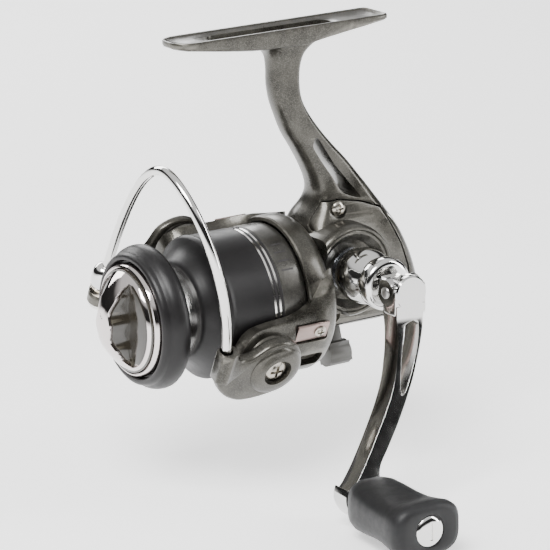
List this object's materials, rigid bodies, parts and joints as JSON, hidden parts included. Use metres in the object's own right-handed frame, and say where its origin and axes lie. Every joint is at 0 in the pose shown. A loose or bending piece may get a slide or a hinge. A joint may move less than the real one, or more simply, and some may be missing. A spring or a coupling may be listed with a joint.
{
  "type": "spinning reel",
  "caption": "Small front-drag spinning reel with a folding crank, wire bail, oscillating spool and a foot that clamps to a rod's reel seat.",
  "frame": {"origin": "middle of the foot's flat seat face, which lies along the rod", "axes": "+Z is the seat's outward normal, towards the rod; -X is forward, along the spool axis towards the rod's tip; the crank is on the -Y side"},
  "size_m": [0.0842, 0.1036, 0.1061],
  "materials": {
    "gunmetal": "semi-gloss metallic coat with fine flake",
    "chrome_trim": "polished",
    "steel": "machined",
    "bearing_steel": "ground",
    "brass_gear": "machined",
    "bronze_bush": "sintered",
    "silver_trim": "satin silver-grey coat",
    "plate_metal": "brushed, warm tint",
    "spool_black": "satin black",
    "spool_silver": "turned and polished",
    "band_grey": "satin",
    "knob_black": "smoked gloss",
    "grip_rubber": "soft-touch, matte",
    "nylon": "moulded",
    "felt": "oiled felt"
  },
  "bodies": {
    "frame": {"body_frame": "gunmetal", "side_cover": "gunmetal", "rear_trim": "silver_trim", "cover_screws": "steel", "trim_screw": "steel", "rotor_bearing": "bearing_steel", "roller_clutch": "bearing_steel", "clutch_retainer": "steel", "pinion_bush": "bronze_bush", "axle_bearings": "bearing_steel", "slider_guide": "steel", "osc_gear_post": "steel", "lever_pin": "steel"},
    "reverse_lever": {"reverse_lever": "gunmetal"},
    "crank_axle": {"drive_axle": "steel", "drive_gear": "brass_gear", "osc_pinion": "brass_gear", "handle_collar": "chrome_trim", "handle_screw": "steel", "screw_cap": "gunmetal", "fold_pin": "steel"},
    "crank": {"crank_arm": "chrome_trim", "grip_spindle": "steel", "spindle_screw": "steel"},
    "grip": {"grip": "grip_rubber", "grip_cap": "chrome_trim", "grip_bushes": "bronze_bush"},
    "rotor": {"rotor": "gunmetal", "rotor_nut": "steel", "nut_lock": "steel", "pinion": "brass_gear", "clutch_sleeve": "steel", "arm_plates": "plate_metal", "plate_screws": "steel", "bail_spring": "steel"},
    "bail": {"bail_arm": "gunmetal", "bail_far_arm": "gunmetal", "bail_wire": "chrome_trim", "pivot_screws": "steel", "roller_screw": "chrome_trim"},
    "line_roller": {"line_roller": "chrome_trim", "roller_bush": "bronze_bush"},
    "shaft": {"main_shaft": "steel", "slider": "nylon", "slider_screw": "steel", "spool_support": "steel", "keyed_washers": "steel"},
    "spool": {"spool_core": "spool_silver", "spool_skirt": "spool_black", "spool_lip": "spool_black", "skirt_ring": "band_grey", "click_gear": "nylon", "drag_washers": "felt", "washer_clip": "steel"},
    "drag_knob": {"drag_knob": "knob_black", "knob_rim": "chrome_trim", "knob_nut": "brass_gear", "knob_spring": "steel", "pressure_plate": "steel"},
    "oscillation_gear": {"osc_gear": "nylon"}
  },
  "joints": [
    {"name": "crank_turn", "type": "hinge", "parent": "frame", "child": "crank_axle", "pos_m": [0.0123, 0, -0.0582], "axis": [0, 1, 0], "continuous": true},
    {"name": "crank_fold", "type": "hinge", "parent": "crank_axle", "child": "crank", "pos_m": [0.0123, -0.0326, -0.0582], "axis": [-1, 0, 0], "range_deg": [0, 90]},
    {"name": "grip_turn", "type": "hinge", "parent": "crank", "child": "grip", "pos_m": [-0.00901, -0.06, -0.10009], "axis": [0, 1, 0], "continuous": true},
    {"name": "rotor_turn", "type": "hinge", "parent": "frame", "child": "rotor", "pos_m": [-0.0358, 0, -0.0637], "axis": [1, 0, 0], "continuous": true},
    {"name": "bail_swing", "type": "hinge", "parent": "rotor", "child": "bail", "pos_m": [-0.0157, 0, -0.0637], "axis": [0, -0.8926, -0.4509], "range_deg": [0, 100]},
    {"name": "roller_turn", "type": "hinge", "parent": "bail", "child": "line_roller", "pos_m": [-0.0345, 0.02473, -0.06275], "axis": [0, -0.4509, 0.8926], "continuous": true},
    {"name": "spool_slide", "type": "slide", "parent": "frame", "child": "shaft", "axis": [1, 0, 0], "range_m": [-0.002, 0.0045]},
    {"name": "spool_turn", "type": "hinge", "parent": "shaft", "child": "spool", "pos_m": [-0.0358, 0, -0.0637], "axis": [1, 0, 0], "continuous": true},
    {"name": "drag_turn", "type": "hinge", "parent": "shaft", "child": "drag_knob", "pos_m": [-0.0438, 0, -0.0637], "axis": [1, 0, 0], "continuous": true},
    {"name": "oscillation_turn", "type": "hinge", "parent": "frame", "child": "oscillation_gear", "pos_m": [0.0216, 0, -0.0619], "axis": [0, 1, 0], "continuous": true},
    {"name": "lever_swing", "type": "hinge", "parent": "frame", "child": "reverse_lever", "pos_m": [0.0132, 0, -0.0712], "axis": [1, 0, 0], "range_deg": [0, 36]}
  ],
  "couplings": [
    {"joint": "rotor_turn", "follows": "crank_turn", "ratio": -5.1429},
    {"joint": "oscillation_turn", "follows": "crank_turn", "ratio": -0.66667}
  ]
}
